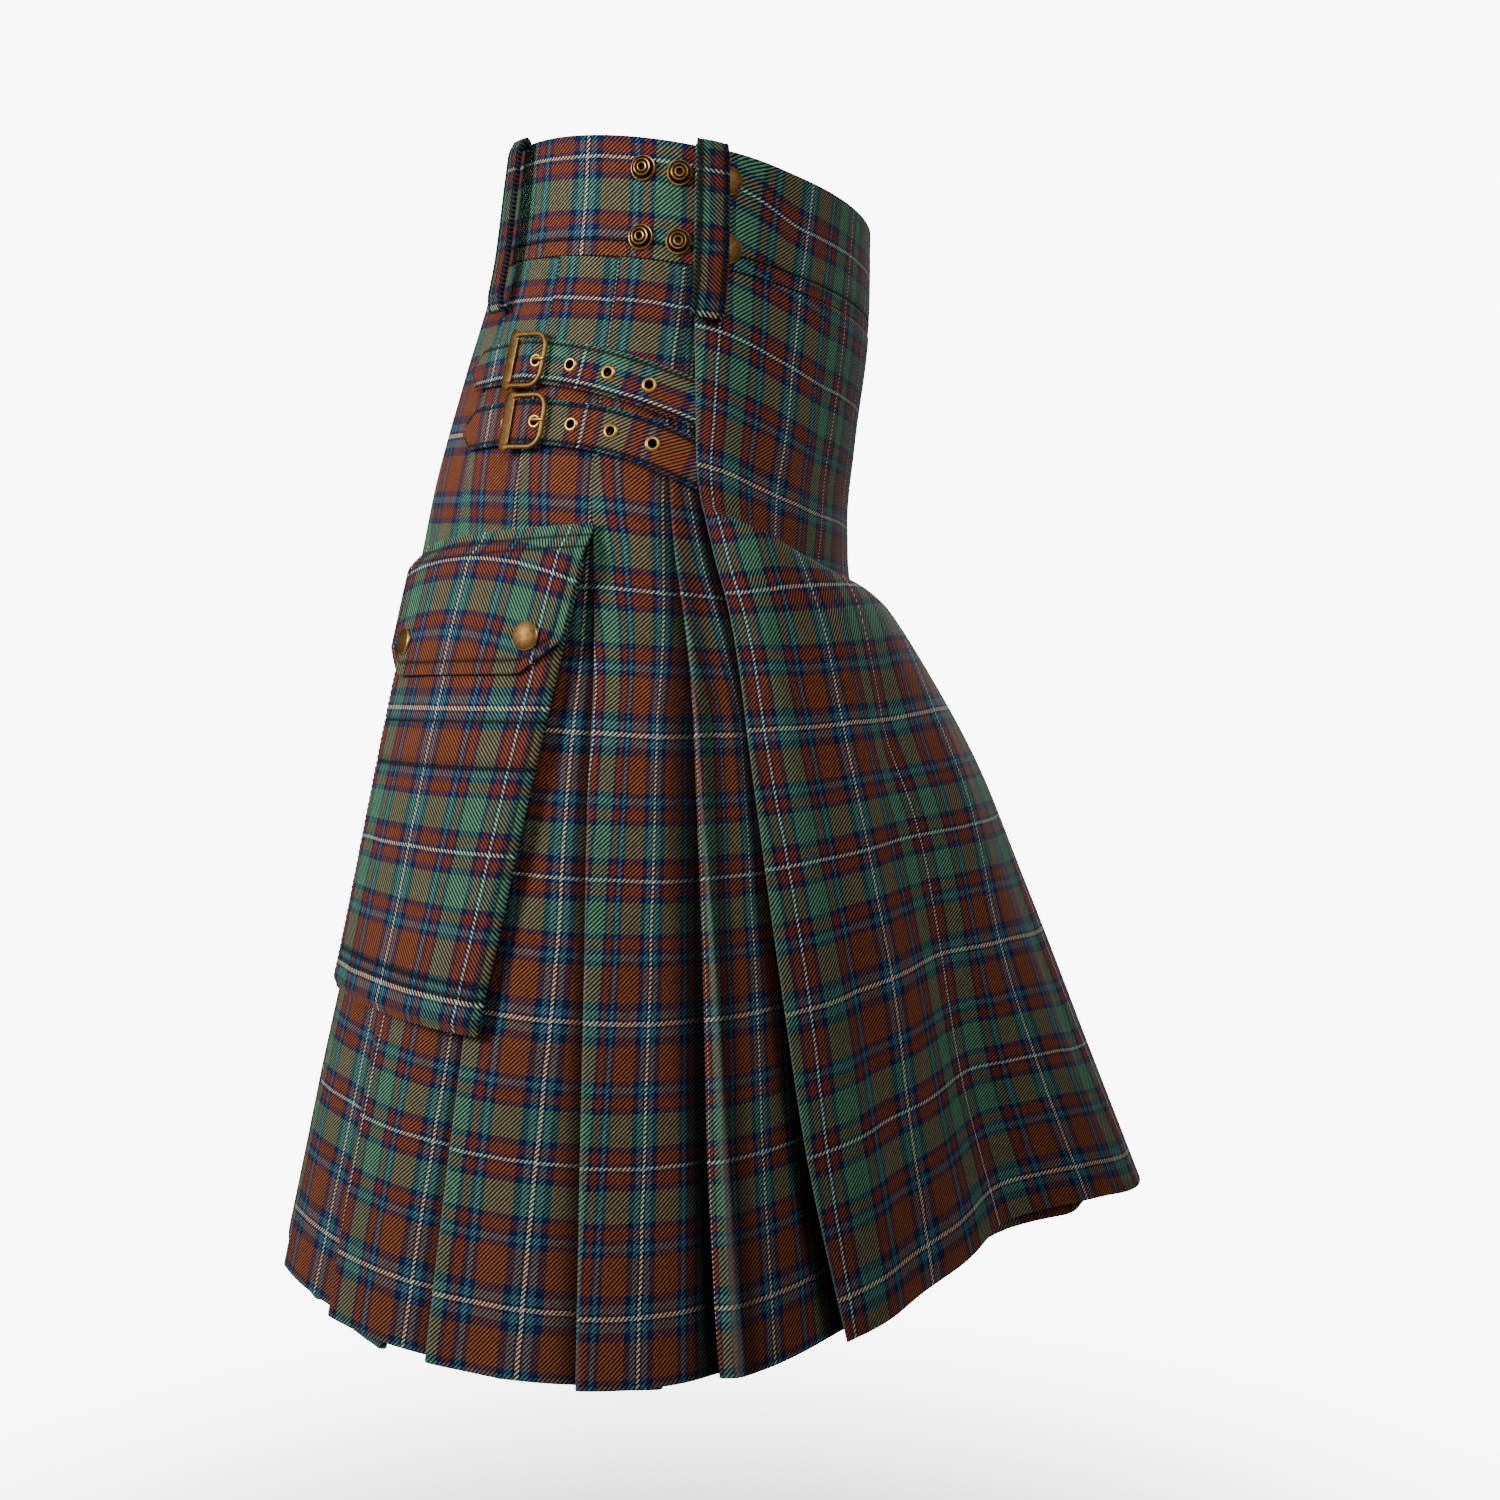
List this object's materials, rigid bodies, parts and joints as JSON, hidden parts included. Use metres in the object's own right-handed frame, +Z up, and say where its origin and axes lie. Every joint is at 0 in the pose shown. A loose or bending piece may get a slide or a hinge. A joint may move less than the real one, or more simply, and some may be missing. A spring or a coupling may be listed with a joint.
{
  "type": "kilt",
  "caption": "Scottish tartan utility kilt in its worn shape: knife-pleated back, wrap-over aprons, hip straps with buckles, cargo pockets and belt loops, open at waist and hem.",
  "frame": {"origin": "centre of the waistband at half its height, where the wearer's waist holds the kilt", "axes": "+Z up, -Y to the front of the kilt, -X to the wearer's right side"},
  "size_m": [0.4839, 0.5356, 0.6677],
  "materials": {
    "tartan": "woven tartan twill, matt",
    "brass": "antique, satin"
  },
  "bodies": {
    "root": {"pleated_back": "tartan", "over_apron": "tartan", "under_apron": "tartan", "waistband_back": "tartan", "waistband_over": "tartan", "waistband_under": "tartan", "belt_loop_side_right": "tartan", "belt_loop_side_left": "tartan", "belt_loop_back_right": "tartan", "belt_loop_back_left": "tartan", "stud_upper_front": "brass", "stud_upper_back": "brass", "band_cap_right_upper": "brass", "band_cap_left_upper": "brass", "stud_lower_front": "brass", "stud_lower_back": "brass", "band_cap_right_lower": "brass", "band_cap_left_lower": "brass", "strap_right_upper": "tartan", "eyelet_right_upper_1": "brass", "eyelet_right_upper_2": "brass", "eyelet_right_upper_3": "brass", "eyelet_right_upper_4": "brass", "eyelet_right_upper_5": "brass", "buckle_right_upper": "brass", "prong_right_upper": "brass", "strap_right_lower": "tartan", "eyelet_right_lower_1": "brass", "eyelet_right_lower_2": "brass", "eyelet_right_lower_3": "brass", "eyelet_right_lower_4": "brass", "eyelet_right_lower_5": "brass", "buckle_right_lower": "brass", "prong_right_lower": "brass", "pocket_right": "tartan", "flap_right": "tartan", "flap_cap_right_front": "brass", "flap_cap_right_back": "brass", "strap_left_upper": "tartan", "eyelet_left_upper_1": "brass", "eyelet_left_upper_2": "brass", "eyelet_left_upper_3": "brass", "eyelet_left_upper_4": "brass", "eyelet_left_upper_5": "brass", "buckle_left_upper": "brass", "prong_left_upper": "brass", "strap_left_lower": "tartan", "eyelet_left_lower_1": "brass", "eyelet_left_lower_2": "brass", "eyelet_left_lower_3": "brass", "eyelet_left_lower_4": "brass", "eyelet_left_lower_5": "brass", "buckle_left_lower": "brass", "prong_left_lower": "brass", "pocket_left": "tartan", "flap_left": "tartan", "flap_cap_left_front": "brass", "flap_cap_left_back": "brass"}
  },
  "joints": []
}
